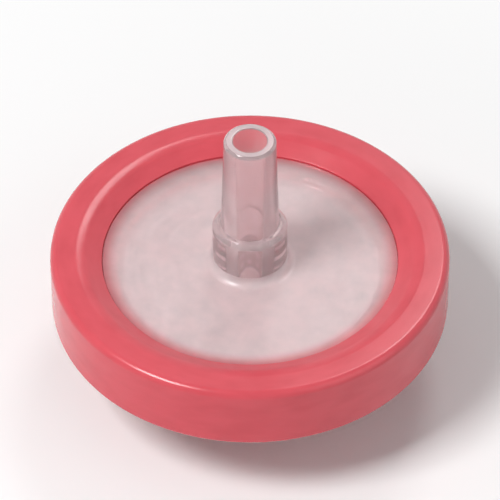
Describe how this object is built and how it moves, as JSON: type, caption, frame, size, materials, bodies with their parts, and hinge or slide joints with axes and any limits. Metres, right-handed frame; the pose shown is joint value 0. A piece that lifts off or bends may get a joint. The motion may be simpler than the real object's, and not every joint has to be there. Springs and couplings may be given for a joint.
{
  "type": "syringe filter",
  "caption": "Disc filter for a syringe: white membrane in a frosted housing with a red moulded ring, a female lock hub at the inlet and a male slip nozzle at the outlet.",
  "frame": {"origin": "centre of the inlet hub's mouth face, on which the filter stands", "axes": "+Z along the flow, out of the outlet nozzle's tip; the hub's two lugs point along +X and -X"},
  "size_m": [0.031, 0.031, 0.0234],
  "materials": {
    "natural_polypropylene": "frosted, translucent",
    "membrane_film": "matt, microporous",
    "nonwoven": "bonded fibres",
    "red_polypropylene": "smooth moulded"
  },
  "bodies": {
    "root": {"inlet_housing": "natural_polypropylene", "outlet_housing": "natural_polypropylene", "membrane": "membrane_film", "membrane_backing": "nonwoven", "outer_ring": "red_polypropylene"}
  },
  "joints": []
}
